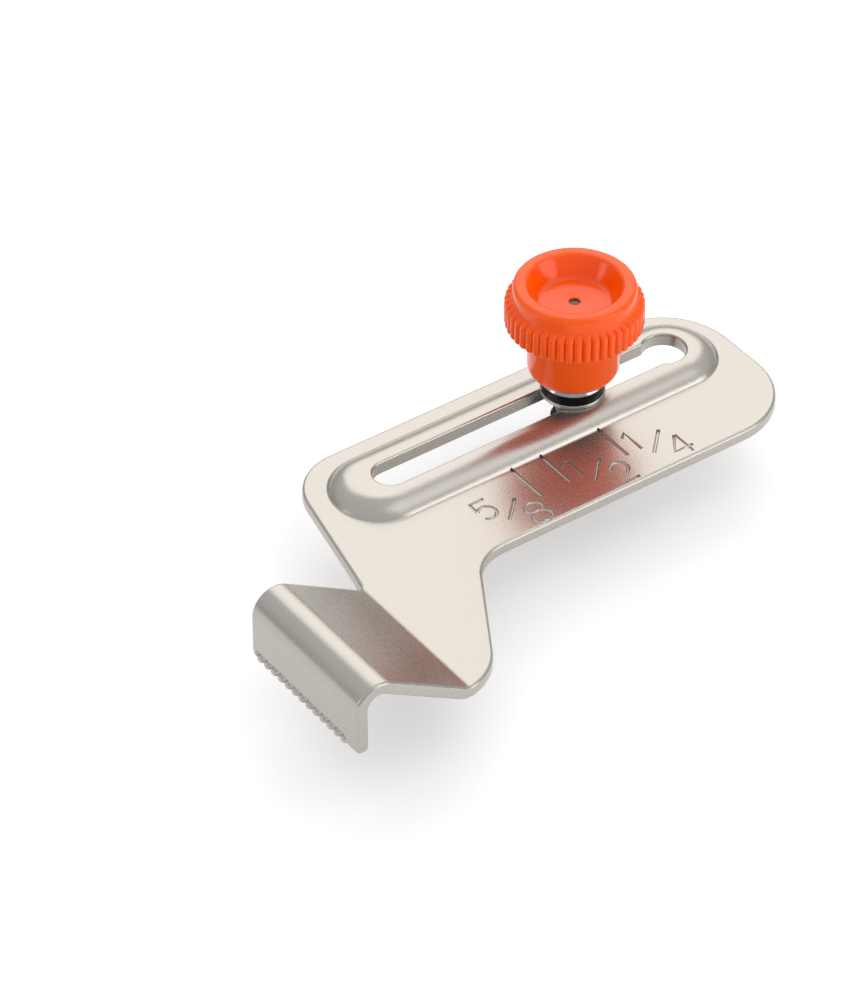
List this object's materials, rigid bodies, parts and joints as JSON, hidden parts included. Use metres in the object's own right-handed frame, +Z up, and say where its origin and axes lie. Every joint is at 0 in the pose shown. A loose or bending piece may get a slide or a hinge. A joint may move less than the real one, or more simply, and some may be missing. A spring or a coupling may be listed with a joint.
{
  "type": "marking gauge",
  "caption": "Pressed steel marking gauge: slotted plate with a raised boss and scale, a ramp folded into a toothed fence lip, and a captive clamping thumbscrew.",
  "frame": {"origin": "on the thumbscrew's axis, in the plane of the plate's underside", "axes": "+X along the slot, away from the fence lip; -Y towards the scale; +Z up, along the screw towards its knob"},
  "size_m": [0.0585, 0.0321, 0.0209],
  "materials": {
    "plated_steel": "satin tumbled nickel plate",
    "bright_steel": "plain bright",
    "polished_steel": "mirror polished",
    "dark_steel": "machined",
    "orange_plastic": "glossy moulded"
  },
  "bodies": {
    "plate": {"gauge_plate": "plated_steel"},
    "washer": {"plain_washer": "bright_steel"},
    "collar": {"spacer_collar": "polished_steel"},
    "thumbscrew": {"clamp_knob": "orange_plastic", "clamp_stud": "dark_steel"}
  },
  "joints": [
    {"name": "slot_slide", "type": "slide", "parent": "plate", "child": "washer", "axis": [1, 0, 0], "range_m": [-0.0197, 0.0102]},
    {"name": "screw_lift", "type": "slide", "parent": "washer", "child": "collar", "axis": [0, 0, 1], "range_m": [0, 0.000875]},
    {"name": "screw_turn", "type": "hinge", "parent": "collar", "child": "thumbscrew", "pos_m": [0, 0, 0], "axis": [0, 0, 1], "range_deg": [0, 450]}
  ],
  "couplings": [
    {"joint": "screw_turn", "follows": "screw_lift", "rad_per_m": 8976}
  ]
}
